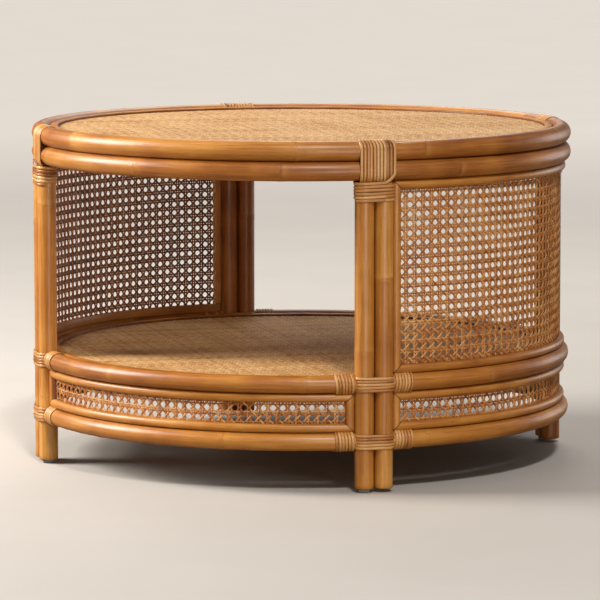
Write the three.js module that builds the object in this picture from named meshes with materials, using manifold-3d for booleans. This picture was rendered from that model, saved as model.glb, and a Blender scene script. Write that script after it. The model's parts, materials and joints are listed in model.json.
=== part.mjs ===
// Round rattan coffee table with an open shelf, two curved cane panels and a low cane band.
// Millimetres, +Z up. The origin is on the floor at the centre. The open sides face -Y (front) and +Y (rear).
import * as THREE from "three";
import { mergeVertices } from "three/addons/utils/BufferGeometryUtils.js";
import Module from "manifold-3d";

const wasm = await Module();
wasm.setup();

// Driving dimensions.
const RING_RADIUS = 368; // centreline of every bent ring and rail
const RIM_POLE = 13.2; // radius of the two rim poles
const RAIL_POLE = 12; // radius of the shelf and base rails
const LEG_POLE = 13.1; // radius of a leg pole
const LEG_CIRCLE = 370.8; // from the table's axis to the line where a leg pair meets
const GAP = 0.3; // clearance between neighbouring pieces
const RIM_UPPER_Z = 458.8;
const RIM_LOWER_Z = RIM_UPPER_Z - 2 * RIM_POLE - GAP;
const SHELF_Z = 146.5;
const BASE_Z = 69.1;
const GLIDE_RADIUS = 8.5;
const GLIDE_HEIGHT = 5;

// Rattan peel, frames and webbing.
const PEEL = 2.2; // how far a binding stands out from what it wraps
const FRAME_WIDTH = 12; // face height of the thin poles round a cane opening
const STILE_WIDTH = 11.5;
const FRAME_INSIDE = RING_RADIUS - 7;
const FRAME_OUTSIDE = RING_RADIUS + 6;
const CANE_RADIUS = RING_RADIUS - 2;
const CANE_THICKNESS = 2;
const GROOVE_DEPTH = 4; // how far the webbing reaches into its frame

// Boards, mats and trim.
const BOARD_RADIUS = 352;
const BOARD_THICKNESS = 5;
const MAT_THICKNESS = 1.6;
const TOP_MAT_Z = 466.5; // upper face of the top mat
const SHELF_MAT_Z = 153.2; // upper face of the shelf mat
const TRIM_INNER = 345;
const TRIM_OUTER = 355.8;
const TRIM_PROUD = 1; // how far the trim stands above the mat
const BATTEN_WIDTH = 40;
const BATTEN_THICKNESS = 15;
const BATTEN_INSET = 2; // from each end of a batten to the board's edge

// Bindings: half lengths measured along the ring, and heights on the legs.
const RIM_WRAP_HALF = 25;
const COLLAR_BOTTOM = 388.5;
const COLLAR_TOP = 424;
const RAIL_WRAP_HALF = 52;
const CROSS_HALF = 11;

const RIM_SIDES = 8;
const RAIL_SIDES = 8;
const LEG_SIDES = 10;
const GLIDE_SIDES = 16;
const STADIUM_SIDES = 8;
const RING_SEGMENTS = 40;
const ARC_STEP = 9; // degrees of ring that one segment of a bent bar spans
const PAST = 5; // how far a cutting block runs past what it cuts
const DEGREE = Math.PI / 180;

const FINISHES = {
  honey_pole: { color: 0xc98a45, roughness: 0.3, metalness: 0 },
  pale_cane: { color: 0xd2a062, roughness: 0.55, metalness: 0 },
  woven_mat: { color: 0xd9b07a, roughness: 0.6, metalness: 0 },
  peel: { color: 0xd39a56, roughness: 0.35, metalness: 0 },
  board: { color: 0xb99468, roughness: 0.8, metalness: 0 },
  glide: { color: 0x8c8880, roughness: 0.6, metalness: 0 },
};

// ---- Solids and booleans ----

function solidOf(geometry) {
  const bare = geometry.clone();
  bare.deleteAttribute("normal");
  bare.deleteAttribute("uv");
  const merged = mergeVertices(bare, 1e-3);
  return new wasm.Manifold(
    new wasm.Mesh({
      numProp: 3,
      vertProperties: merged.attributes.position.array,
      triVerts: new Uint32Array(merged.index.array),
    }),
  );
}

function geometryOf(solid) {
  const mesh = solid.getMesh();
  const geometry = new THREE.BufferGeometry();
  geometry.setAttribute("position", new THREE.BufferAttribute(new Float32Array(mesh.vertProperties), 3));
  geometry.setIndex(new THREE.BufferAttribute(new Uint32Array(mesh.triVerts), 1));
  geometry.computeVertexNormals();
  return geometry;
}

// The largest body left by a cut, so that a sliver cut loose is not kept.
function largestBody(solid) {
  return solid.decompose().reduce((best, body) => (body.volume() > best.volume() ? body : best));
}

function cut(solid, tools) {
  return largestBody(tools.reduce((left, tool) => left.subtract(tool), solid));
}

function join(solids) {
  return solids.reduce((whole, solid) => whole.add(solid));
}

const table = new THREE.Group();

function place(name, solid, finish) {
  const mesh = new THREE.Mesh(geometryOf(solid), new THREE.MeshStandardMaterial(FINISHES[finish]));
  mesh.name = name;
  table.add(mesh);
}

// ---- Shapes ----

class RingArc extends THREE.Curve {
  constructor(radius, z, start, end) {
    super();
    Object.assign(this, { radius, z, start, end });
  }

  getPoint(t, target = new THREE.Vector3()) {
    const angle = this.start + (this.end - this.start) * t;
    return target.set(this.radius * Math.cos(angle), this.radius * Math.sin(angle), this.z);
  }
}

// Along a ring arc the extrusion's own x points down and its y points inwards.
function sectionShape(points) {
  return new THREE.Shape(points.map(([outwards, up]) => new THREE.Vector2(-up, -outwards)));
}

// A bar of the given section (outwards, up) bent along the ring from start to end.
function bentBar(section, radius, z, start, end) {
  const steps = Math.max(2, Math.round((end - start) / (ARC_STEP * DEGREE)));
  const path = new RingArc(radius, z, start, end);
  return solidOf(new THREE.ExtrudeGeometry(sectionShape(section), { steps, extrudePath: path }));
}

function circle(radius, sides) {
  return Array.from({ length: sides }, (_, i) => {
    const angle = (i / sides) * 2 * Math.PI;
    return [radius * Math.cos(angle), radius * Math.sin(angle)];
  });
}

function rectangle(low, high) {
  return [low, [high[0], low[1]], high, [low[0], high[1]]];
}

// Two half circles of the given radius, their centres up and down from the middle by half.
function stadium(radius, half, sides) {
  const quarter = sides / 2;
  const points = [];
  for (const [sign, first] of [[1, 0], [-1, Math.PI]]) {
    for (let i = 0; i <= quarter; i++) {
      const angle = first + (i / quarter) * Math.PI;
      points.push([radius * Math.cos(angle), sign * half + radius * Math.sin(angle)]);
    }
  }
  return points;
}

// A full ring with a closed section (radius, z).
function turnedRing(section) {
  const profile = [...section, section[0]].map(([r, z]) => new THREE.Vector2(r, z));
  const geometry = new THREE.LatheGeometry(profile, RING_SEGMENTS);
  geometry.rotateX(Math.PI / 2);
  return facingOut(solidOf(geometry), geometry);
}

// A lathe profile drawn the other way round gives an inside-out solid, so it is turned over.
function facingOut(solid, geometry) {
  if (solid.volume() > 0) {
    return solid;
  }
  const index = geometry.index.array;
  for (let i = 0; i < index.length; i += 3) {
    [index[i + 1], index[i + 2]] = [index[i + 2], index[i + 1]];
  }
  return solidOf(geometry);
}

function upright(radius, x, y, bottom, top, sides) {
  const geometry = new THREE.CylinderGeometry(radius, radius, top - bottom, sides);
  geometry.rotateX(Math.PI / 2);
  geometry.translate(x, y, (bottom + top) / 2);
  return solidOf(geometry);
}

// A prism from a plan outline (x, y), turned about the table's axis to the given angle.
function prism(outline, bottom, top, angle) {
  const shape = new THREE.Shape(outline.map(([x, y]) => new THREE.Vector2(x, y)));
  const geometry = new THREE.ExtrudeGeometry(shape, { depth: top - bottom, bevelEnabled: false });
  geometry.translate(0, 0, bottom);
  geometry.rotateZ(angle);
  return solidOf(geometry);
}

// ---- Layout: four leg pairs, with an open side or a cane panel between each two ----

const CORNERS = [
  { name: "rear_right", angle: 45 * DEGREE, openSide: 1 },
  { name: "rear_left", angle: 135 * DEGREE, openSide: -1 },
  { name: "front_left", angle: 225 * DEGREE, openSide: 1 },
  { name: "front_right", angle: 315 * DEGREE, openSide: -1 },
];
const SIDES = [
  { name: "right", from: -45 * DEGREE, closed: true },
  { name: "rear", from: 45 * DEGREE, closed: false },
  { name: "left", from: 135 * DEGREE, closed: true },
  { name: "front", from: 225 * DEGREE, closed: false },
];
const QUARTER = 90 * DEGREE;
const PAIR_HALF = 2 * LEG_POLE + GAP; // half the width of a leg pair, along the ring

function legCentre(corner, side) {
  const along = side * (LEG_POLE + GAP / 2);
  const c = Math.cos(corner.angle);
  const s = Math.sin(corner.angle);
  return [LEG_CIRCLE * c - along * s, LEG_CIRCLE * s + along * c];
}

function legPole(corner, side, grow = 0) {
  const [x, y] = legCentre(corner, side);
  return upright(LEG_POLE + grow, x, y, GLIDE_HEIGHT + GAP, RIM_LOWER_Z, LEG_SIDES);
}

function legPair(corner, grow) {
  return [legPole(corner, -1, grow), legPole(corner, 1, grow)];
}

const allLegs = CORNERS.flatMap((corner) => legPair(corner, GAP));

function rim(z, grow = 0) {
  return turnedRing(circle(RIM_POLE + grow, RIM_SIDES).map(([r, up]) => [RING_RADIUS + r, z + up]));
}

const rimTools = [rim(RIM_UPPER_Z, GAP), rim(RIM_LOWER_Z, GAP)];

// A rail between two leg pairs. It runs half-way into each pair, and the legs are cut out of it later.
function rail(z, side, grow = 0) {
  const reach = PAIR_HALF / 2 / RING_RADIUS;
  const section = circle(RAIL_POLE + grow, RAIL_SIDES);
  return bentBar(section, RING_RADIUS, z, side.from + reach, side.from + QUARTER - reach);
}

// ---- Bindings ----

// The plan outline round both poles of a leg pair, standing out from them by margin.
function pairOutline(margin) {
  return stadium(LEG_POLE + margin, LEG_POLE + GAP / 2, STADIUM_SIDES).map(([r, t]) => [LEG_CIRCLE + r, t]);
}

function rimBindingBody(corner, grow) {
  const half = (RIM_WRAP_HALF + grow) / RING_RADIUS;
  const section = stadium(RIM_POLE + PEEL + grow, (RIM_UPPER_Z - RIM_LOWER_Z) / 2, STADIUM_SIDES);
  const middle = (RIM_UPPER_Z + RIM_LOWER_Z) / 2;
  const wrap = bentBar(section, RING_RADIUS, middle, corner.angle - half, corner.angle + half);
  const collar = prism(pairOutline(PEEL + grow), COLLAR_BOTTOM - grow, COLLAR_TOP + grow, corner.angle);
  return join([wrap, collar]);
}

function railBindingBody(corner, z, grow) {
  const half = (RAIL_WRAP_HALF + grow) / RING_RADIUS;
  const section = circle(RAIL_POLE + PEEL + grow, RAIL_SIDES);
  const wrap = bentBar(section, RING_RADIUS, z, corner.angle - half, corner.angle + half);
  const cross = prism(pairOutline(PEEL + grow), z - CROSS_HALF - grow, z + CROSS_HALF + grow, corner.angle);
  return join([wrap, cross]);
}

const railTools = SIDES.flatMap((side) => [rail(SHELF_Z, side, GAP), rail(BASE_Z, side, GAP)]);
const rimBindingTools = CORNERS.map((corner) => rimBindingBody(corner, GAP));
const shelfBindingTools = CORNERS.map((corner) => railBindingBody(corner, SHELF_Z, GAP));
const baseBindingTools = CORNERS.map((corner) => railBindingBody(corner, BASE_Z, GAP));

function addBindings() {
  for (const corner of CORNERS) {
    place("rim_binding_" + corner.name, cut(rimBindingBody(corner, 0), [...rimTools, ...allLegs]), "peel");
    for (const [level, z] of [["shelf", SHELF_Z], ["base", BASE_Z]]) {
      const body = cut(railBindingBody(corner, z, 0), [...allLegs, ...railTools]);
      place(level + "_binding_" + corner.name, body, "peel");
    }
  }
}

// ---- Poles ----

function addLegs() {
  for (const corner of CORNERS) {
    for (const side of [-1, 1]) {
      const open = side === corner.openSide;
      const body = cut(legPole(corner, side), [rimTools[1]]);
      place("leg_pole_" + corner.name + (open ? "_open_side" : "_panel_side"), body, "honey_pole");
    }
    const [x, y] = legCentre(corner, corner.openSide);
    place("glide_" + corner.name, upright(GLIDE_RADIUS, x, y, 0, GLIDE_HEIGHT, GLIDE_SIDES), "glide");
  }
}

function addRings() {
  place("rim_pole_upper", rim(RIM_UPPER_Z), "honey_pole");
  place("rim_pole_lower", rim(RIM_LOWER_Z), "honey_pole");
  for (const side of SIDES) {
    place("shelf_rail_" + side.name, cut(rail(SHELF_Z, side), allLegs), "honey_pole");
    place("base_rail_" + side.name, cut(rail(BASE_Z, side), allLegs), "honey_pole");
  }
}

// ---- Cane bands and panels ----

const FRAME_DEPTH = [FRAME_INSIDE - RING_RADIUS, FRAME_OUTSIDE - RING_RADIUS];
const CANE_MIDDLE = CANE_RADIUS - RING_RADIUS;
const CANE_DEPTH = [CANE_MIDDLE - CANE_THICKNESS / 2, CANE_MIDDLE + CANE_THICKNESS / 2];

// A bent block that starts and ends the given distances (along the ring) from the leg pairs.
function sideBlock(side, depth, bottom, top, inset, grow = 0) {
  const reach = (PAIR_HALF + GAP + inset - grow) / RING_RADIUS;
  const section = rectangle([depth[0] - grow, bottom - grow], [depth[1] + grow, top + grow]);
  return bentBar(section, RING_RADIUS, 0, side.from + reach, side.from + QUARTER - reach);
}

const BAND_BOTTOM = BASE_Z + RAIL_POLE + GAP;
const BAND_TOP = SHELF_Z - RAIL_POLE - GAP;
const PANEL_BOTTOM = SHELF_Z + RAIL_POLE + GAP;
const PANEL_TOP = RIM_LOWER_Z - RIM_POLE - GAP;

// The webbing in an opening from bottom to top, reaching into the frame all round.
function webbing(side, bottom, top, grow) {
  const reach = GROOVE_DEPTH;
  const low = bottom + FRAME_WIDTH - reach;
  const high = top - FRAME_WIDTH + reach;
  return sideBlock(side, CANE_DEPTH, low, high, STILE_WIDTH - reach, grow);
}

function addBand(side) {
  const outer = sideBlock(side, FRAME_DEPTH, BAND_BOTTOM, BAND_TOP, 0);
  const through = [FRAME_DEPTH[0] - PAST, FRAME_DEPTH[1] + PAST];
  const opening = sideBlock(side, through, BAND_BOTTOM + FRAME_WIDTH, BAND_TOP - FRAME_WIDTH, STILE_WIDTH);
  const groove = webbing(side, BAND_BOTTOM, BAND_TOP, GAP);
  const frame = cut(outer, [opening, groove, ...shelfBindingTools, ...baseBindingTools, ...allLegs]);
  place("band_frame_" + side.name, frame, "honey_pole");
  place("band_cane_" + side.name, webbing(side, BAND_BOTTOM, BAND_TOP, 0), "pale_cane");
}

function addPanel(side) {
  const groove = webbing(side, PANEL_BOTTOM, PANEL_TOP, GAP);
  const tools = [groove, ...shelfBindingTools, ...rimBindingTools, ...allLegs];
  const bottomRail = sideBlock(side, FRAME_DEPTH, PANEL_BOTTOM, PANEL_BOTTOM + FRAME_WIDTH, 0);
  const topRail = sideBlock(side, FRAME_DEPTH, PANEL_TOP - FRAME_WIDTH, PANEL_TOP, 0);
  const prefix = side.name + "_panel_";
  place(prefix + "bottom_rail", cut(bottomRail, tools), "honey_pole");
  place(prefix + "top_rail", cut(topRail, tools), "honey_pole");
  const between = [PANEL_BOTTOM + FRAME_WIDTH + GAP, PANEL_TOP - FRAME_WIDTH - GAP];
  for (const [end, angle, first] of [["first", side.from, 1], ["second", side.from + QUARTER, -1]]) {
    const near = PAIR_HALF + GAP;
    const low = first > 0 ? near : -near - STILE_WIDTH;
    const outline = rectangle([FRAME_INSIDE, low], [FRAME_OUTSIDE, low + STILE_WIDTH]);
    const front = (side.name === "right") === (end === "first");
    const stile = cut(prism(outline, between[0], between[1], angle), tools);
    place(prefix + (front ? "front_stile" : "rear_stile"), stile, "honey_pole");
  }
  place(prefix + "cane", webbing(side, PANEL_BOTTOM, PANEL_TOP, 0), "pale_cane");
}

// ---- Boards, mats, trim and battens ----

function addSurface(name, matTop, bindingTools) {
  const boardTop = matTop - MAT_THICKNESS - GAP;
  const disc = (radius, bottom, top) => upright(radius, 0, 0, bottom, top, RING_SEGMENTS);
  place(name + "_board", disc(BOARD_RADIUS, boardTop - BOARD_THICKNESS, boardTop), "board");
  place(name + "_mat", disc(TRIM_INNER - GAP, matTop - MAT_THICKNESS, matTop), "woven_mat");
  const section = rectangle([TRIM_INNER, boardTop + GAP], [TRIM_OUTER, matTop + TRIM_PROUD]);
  place(name + "_trim_ring", cut(turnedRing(section), bindingTools), "peel");
  const battenTop = boardTop - BOARD_THICKNESS - GAP;
  const half = BOARD_RADIUS - BATTEN_INSET;
  const outline = rectangle([-half, -BATTEN_WIDTH / 2], [half, BATTEN_WIDTH / 2]);
  place(name + "_batten", prism(outline, battenTop - BATTEN_THICKNESS, battenTop, 0), "board");
}

addLegs();
addRings();
addBindings();
for (const side of SIDES) {
  addBand(side);
  if (side.closed) {
    addPanel(side);
  }
}
addSurface("top", TOP_MAT_Z, [...rimTools, ...rimBindingTools]);
addSurface("shelf", SHELF_MAT_Z, [...railTools, ...shelfBindingTools, ...allLegs]);

export default table;
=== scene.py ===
"""A round rattan coffee table: bent poles, cane webbing, woven mats and peel bindings round its frame."""
import json
import math

import bpy
import numpy as np
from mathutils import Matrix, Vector

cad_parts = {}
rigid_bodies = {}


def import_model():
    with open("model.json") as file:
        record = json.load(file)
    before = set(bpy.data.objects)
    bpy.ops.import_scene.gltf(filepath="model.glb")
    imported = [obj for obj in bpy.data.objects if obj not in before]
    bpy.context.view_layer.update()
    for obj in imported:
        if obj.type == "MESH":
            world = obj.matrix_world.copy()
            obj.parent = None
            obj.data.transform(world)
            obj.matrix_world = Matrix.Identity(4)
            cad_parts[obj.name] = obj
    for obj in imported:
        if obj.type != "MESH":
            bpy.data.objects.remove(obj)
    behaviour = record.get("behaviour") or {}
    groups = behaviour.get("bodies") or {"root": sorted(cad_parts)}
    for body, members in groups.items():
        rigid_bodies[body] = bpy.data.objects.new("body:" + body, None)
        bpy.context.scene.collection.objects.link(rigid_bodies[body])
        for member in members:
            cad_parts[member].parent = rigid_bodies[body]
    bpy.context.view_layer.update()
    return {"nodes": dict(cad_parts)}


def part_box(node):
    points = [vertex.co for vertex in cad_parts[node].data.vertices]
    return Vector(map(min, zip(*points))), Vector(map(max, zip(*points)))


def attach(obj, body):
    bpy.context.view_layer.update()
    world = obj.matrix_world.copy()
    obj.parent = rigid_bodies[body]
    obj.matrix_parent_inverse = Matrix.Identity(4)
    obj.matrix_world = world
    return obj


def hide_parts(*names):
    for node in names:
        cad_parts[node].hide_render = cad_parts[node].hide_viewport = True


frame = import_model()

# ---- Sizes, in metres, worked out from the frame ----

MM = 0.001
TURN = 2 * math.pi
QUARTER = math.pi / 2


def middle_and_half(node, axis):
    low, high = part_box(node)
    return (low[axis] + high[axis]) / 2, (high[axis] - low[axis]) / 2


RIM_UPPER_Z, RIM_POLE = middle_and_half("rim_pole_upper", 2)
RIM_LOWER_Z = middle_and_half("rim_pole_lower", 2)[0]
SHELF_Z, RAIL_POLE = middle_and_half("shelf_rail_front", 2)
BASE_Z = middle_and_half("base_rail_front", 2)[0]
RING_RADIUS = middle_and_half("rim_pole_upper", 0)[1] - RIM_POLE
LEG_POLE = max(middle_and_half("leg_pole_front_left_open_side", axis)[1] for axis in (0, 1))
LEG_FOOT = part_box("leg_pole_front_left_open_side")[0].z

CORNERS = {"rear_right": 1, "rear_left": 3, "front_left": 5, "front_right": 7}  # in eighths of a turn
SIDES = {"right": -1, "rear": 1, "left": 3, "front": 5}  # where each side starts, in eighths of a turn
EIGHTH = TURN / 8


def leg_centre(corner, kind):
    node = f"leg_pole_{corner}_{kind}_side"
    return np.array([middle_and_half(node, 0)[0], middle_and_half(node, 1)[0]])


PAIR_MIDDLE = (leg_centre("front_left", "open") + leg_centre("front_left", "panel")) / 2
LEG_CIRCLE = float(np.hypot(*PAIR_MIDDLE))
LEG_OFFSET = float(np.hypot(*(leg_centre("front_left", "open") - PAIR_MIDDLE)))
PAIR_HALF = LEG_OFFSET + LEG_POLE

STILE_WIDTH = 12 * MM
RAIL_HEIGHT = 12 * MM
MOULDING_BACK = RING_RADIUS - 0.8 * MM
MOULDING_PROUD = 7 * MM
BATTEN_FACE = RING_RADIUS - 3.8 * MM
BATTEN_DEPTH = 2.6 * MM
BATTEN_SHIFT = 3 * MM  # of an upright batten away from the legs
CANE_RADIUS = RING_RADIUS - 2.3 * MM

CANE_PAIR = 1.75 * MM  # from the middle of a pair of strands to each strand
CANE_WIDTH = 2.35 * MM
DIAGONAL_WIDTH = 2.6 * MM
CANE_THICK = 1.0 * MM

PEEL_WIDTH = 4.5 * MM
PEEL_THICK = 1.6 * MM
RIM_PITCH = 4.45 * MM
COLLAR_PITCH = 4.6 * MM
RAIL_PITCH = 4.25 * MM

# Each group of pieces draws its small unevennesses from its own seed.
SEEDS = {
    "rims": 11, "rails": 23, "legs": 37, "bindings": 41, "frames": 53,
    "panels": 61, "cords": 71, "bands": 81, "mats": 91, "trims": 97,
}


# ---- Mesh building ----

SHARP_ANGLE = math.radians(55)  # an edge that bends more than this isn't shaded smooth


class Solids:
    """Closed grids of quads that share one mesh, with values for the materials at each point:
    grain holds the distance along, the distance around and a tone; shade darkens where it is above 0,
    for real stain and for painted shade."""

    def __init__(self):
        self.points, self.quads, self.caps, self.grain, self.shade = [], [], [], [], []
        self.count = 0

    def grid(self, points, along, around, tone=0.5, shade=0.0, looped=False):
        """Adds a skin over points (rows x columns x 3). Columns close on themselves; rows end in caps."""
        rows, columns = points.shape[:2]
        index = np.arange(rows * columns).reshape(rows, columns) + self.count
        beside = np.roll(index, -1, axis=1)
        if looped:
            here, ahead = index, np.roll(index, -1, axis=0)
            beside_ahead = np.roll(beside, -1, axis=0)
        else:
            here, ahead, beside_ahead, beside = index[:-1], index[1:], beside[1:], beside[:-1]
        first = points[0]
        turning = np.cross(first, np.roll(first, -1, axis=0)).sum(axis=0)
        forward = (turning @ (points[1].mean(axis=0) - first.mean(axis=0))) > 0
        quads = np.stack([here, beside, beside_ahead, ahead], -1).reshape(-1, 4)
        self.quads.append(quads if forward else quads[:, ::-1])
        if not looped:
            start, end = index[0], index[-1][::-1]
            self.caps += [start[::-1], end[::-1]] if forward else [start, end]
        self.points.append(points.reshape(-1, 3))
        grain = np.empty((rows, columns, 3))
        grain[..., 0] = along
        grain[..., 1] = around
        grain[..., 2] = tone
        self.grain.append(grain.reshape(-1, 3))
        self.shade.append(np.broadcast_to(shade, (rows, columns)).ravel())
        self.count += rows * columns

    def build(self, name, node, finish):
        """Makes the mesh object, which stands for a CAD node. A finish is a material."""
        quads = np.concatenate(self.quads)
        cap_sizes = np.array([len(cap) for cap in self.caps], dtype=int)
        corners = np.concatenate([quads.ravel(), *self.caps])
        sizes = np.concatenate([np.full(len(quads), 4), cap_sizes])
        mesh = bpy.data.meshes.new(name)
        mesh.vertices.add(self.count)
        mesh.vertices.foreach_set("co", np.concatenate(self.points).ravel())
        mesh.loops.add(len(corners))
        mesh.loops.foreach_set("vertex_index", corners.astype(np.int32))
        mesh.polygons.add(len(sizes))
        mesh.polygons.foreach_set("loop_start", (np.cumsum(sizes) - sizes).astype(np.int32))
        mesh.update(calc_edges=True)
        grain = mesh.attributes.new("grain", "FLOAT_VECTOR", "POINT")
        grain.data.foreach_set("vector", np.concatenate(self.grain).ravel())
        shade = mesh.attributes.new("shade", "FLOAT", "POINT")
        shade.data.foreach_set("value", np.concatenate(self.shade))
        mesh.shade_smooth()
        mesh.set_sharp_from_angle(angle=SHARP_ANGLE)
        mesh.materials.append(finish[0])
        piece = bpy.data.objects.new(name, mesh)
        bpy.context.scene.collection.objects.link(piece)
        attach(piece, "root")
        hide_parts(node)


def on_ring(radius, angle, z):
    """Points at the given radii, angles and heights, which may be arrays of matching shapes."""
    radius, angle, z = np.broadcast_arrays(radius, angle, z)
    return np.stack([radius * np.cos(angle), radius * np.sin(angle), z], -1)


def outwards(angle):
    return on_ring(1.0, angle, 0.0)


def lengths(points):
    """The distance along a line of points, from its first one."""
    return np.concatenate([[0.0], np.cumsum(np.linalg.norm(np.diff(points, axis=0), axis=1))])


def unit(vectors):
    return vectors / np.linalg.norm(vectors, axis=-1, keepdims=True)


# ---- Poles ----

POLE_SIDES = 36
POLE_STEP = 6 * MM
END_EASE = 0.9 * MM  # off a pole's radius at its cut ends
FIRST_JOINT = (0.05, 0.2)  # least and most, from a pole's start
JOINT_SPACING = (0.2, 0.36)  # least and most
JOINT_REACH = 10 * MM  # how far the close rows reach on each side of a growth joint
JOINT_STEP = 1 * MM
SWELLING_HEIGHT = 0.3 * MM
SWELLING_REACH = 5 * MM
GROOVE_DEPTH = 0.16 * MM
GROOVE_REACH = 1.2 * MM
PALE_REACH = 4.5 * MM  # of the pale patch just past a joint
PARED_LENGTH = 110 * MM


def hump(distance, reach):
    """A smooth rise to 1 where the distance is 0."""
    return np.exp(-((distance / reach) ** 2))


def growth_joints(length, rng):
    """Distances along a pole of its growth joints."""
    places = [rng.uniform(*FIRST_JOINT)]
    while places[-1] < length:
        places.append(places[-1] + rng.uniform(*JOINT_SPACING))
    return np.array(places[:-1])


def joint_marks(rows, angle, joints, mean_tone, rng):
    """What the joints do to a pole at each row and angle: how far it swells, its tone and its shade.
    Each is a slightly askew, uneven line: a soft swelling with a faint groove and a pale patch beside it."""
    skew = rng.uniform(0.4, 2.4, len(joints)) * MM
    uneven = rng.uniform(0.2, 0.7, len(joints)) * MM
    phase = rng.uniform(0, TURN, (2, len(joints)))
    around = angle[None, :, None]
    line = skew * np.cos(around - phase[0]) + uneven * np.sin(3 * around + phase[1])
    past = rows[:, None, None] + line - joints
    swelling = SWELLING_HEIGHT * hump(past, SWELLING_REACH) - GROOVE_DEPTH * hump(past, GROOVE_REACH)
    tones = mean_tone + rng.uniform(-0.3, 0.3, len(joints) + 1)
    tone = tones[0] + (np.diff(tones) / (1 + np.exp(-past / (1.6 * MM)))).sum(-1)
    patchy = 0.55 + 0.45 * np.sin(2 * around + phase[1])
    dark = (rng.uniform(0.15, 0.4, len(joints)) * patchy * hump(past, 1.1 * MM)).sum(-1)
    pale = (patchy * hump(past - SWELLING_REACH, PALE_REACH)).sum(-1)
    return swelling.sum(-1), tone, dark - 0.22 * pale


def pole(solids, place, length, radius, rng, stain_and_shade_towards=(), mean_tone=0.5, pared=0.0):
    """A rattan pole. place(distances) gives its centres and the two unit vectors of its round section.
    Its darker stretches, where it touches its neighbours, are given as (direction, width, depth) round it:
    stain there, and painted shade in the crease. pared is how much thinner its start is, taken off the upper
    side."""
    joints = growth_joints(length, rng)
    close = [joint + np.arange(-JOINT_REACH, JOINT_REACH, JOINT_STEP) for joint in joints]
    ends = [1.2 * MM, length - 1.2 * MM, length]
    rows = np.concatenate([np.arange(0, length, POLE_STEP), ends, *close])
    rows = np.unique(np.clip(rows, 0, length).round(5))
    angle = np.arange(POLE_SIDES) / POLE_SIDES * TURN
    centre, side, up = place(rows)
    narrow = pared * hump(rows, PARED_LENGTH)[:, None]
    centre = centre - narrow * up
    swelling, tone, shade = joint_marks(rows, angle, joints, mean_tone, rng)
    # Stain, and painted shade in the crease, where the pole touches a neighbour.
    for direction, width, depth in stain_and_shade_towards:
        away = (angle - direction + math.pi) % TURN - math.pi
        shade = shade + depth * hump(away, width)[None, :]

    phase = rng.uniform(0, TURN, 3)
    wander = 0.004 * np.sin(rows / 0.11 + phase[0]) + 0.003 * np.sin(rows / 0.037 + phase[1])
    oval = 0.005 * np.cos(2 * angle + phase[2])
    across = (radius - narrow) * (1 + wander[:, None] + oval[None, :]) + swelling
    across = across - END_EASE * ((rows < 1 * MM) | (rows > length - 1 * MM))[:, None]
    points = centre[:, None] + across[..., None] * (
        np.cos(angle)[None, :, None] * side[:, None] + np.sin(angle)[None, :, None] * up[:, None]
    )
    solids.grid(points, rows[:, None] + rng.uniform(0, 5), angle[None, :] * radius, tone, shade)


def bent_pole(radius, z, start, end):
    """The place function of a pole bent along the ring: its section's x points outwards and its y up."""

    def place(rows):
        angle = start + rows / radius
        up = np.broadcast_to([0.0, 0.0, 1.0], (len(rows), 3))
        return on_ring(radius, angle, z), outwards(angle), up

    return place, (end - start) * radius


RING_GAP = 0.8 * MM  # between the two ends of a rim pole
RIM_EXTRA = 0.24 * MM  # of a rim's radius over the frame's faceted one


def add_rims():
    rng = np.random.default_rng(SEEDS["rims"])
    # Stain and painted shade where the two rims meet, and on the lower rim's underside over the legs.
    meeting = (-QUARTER, 0.55, 0.55)
    for name, z, dark, joint, pared in (
        ("rim_pole_upper", RIM_UPPER_Z, [meeting], "front_right", 1.6 * MM),
        ("rim_pole_lower", RIM_LOWER_Z, [(QUARTER, 0.55, 0.55), (-QUARTER, 0.5, 0.3)], "rear_left", 0.0),
    ):
        solids = Solids()
        start = EIGHTH * CORNERS[joint] + RING_GAP / 2 / RING_RADIUS
        place, length = bent_pole(RING_RADIUS, z, start, start + TURN - RING_GAP / RING_RADIUS)
        pole(solids, place, length, RIM_POLE + RIM_EXTRA, rng, dark, pared=pared)
        solids.build("rattan_" + name, name, POLE_FINISH)


RAIL_TUCK = 4 * MM  # how far a rail runs in past a leg's side


def add_rails():
    rng = np.random.default_rng(SEEDS["rails"])
    reach = (PAIR_HALF - RAIL_TUCK) / RING_RADIUS
    for side, eighths in SIDES.items():
        start, end = EIGHTH * eighths + reach, EIGHTH * (eighths + 2) - reach
        for level, z, towards in (("shelf", SHELF_Z, -QUARTER), ("base", BASE_Z, QUARTER)):
            solids = Solids()
            place, length = bent_pole(RING_RADIUS, z, start, end)
            # Stain and painted shade along the side that meets the band's frame.
            pole(solids, place, length, RAIL_POLE, rng, [(towards, 0.5, 0.45)])
            name = f"{level}_rail_{side}"
            solids.build("rattan_" + name, name, POLE_FINISH)


# Each leg pair's mean tone: the rear pairs are darkened as painted shade, the front-left pair is paled as
# painted light from the lamp on the left, and the rest is tone from pole to pole.
LEG_TONES_AND_LIGHT = {"rear_right": 0.05, "rear_left": 0.05, "front_left": 0.95, "front_right": 0.72}
PARTNER_TONE_AND_LIGHT = 0.1  # how much paler the open side's leg is than the pair, and how much darker the other: partly the poles' own tone, partly painted light, as at the front the open side's leg stands in more light
LEG_SHORT = 2.4 * MM  # from the underside of the lower rim to the legs' tops, inside the binding


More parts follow.
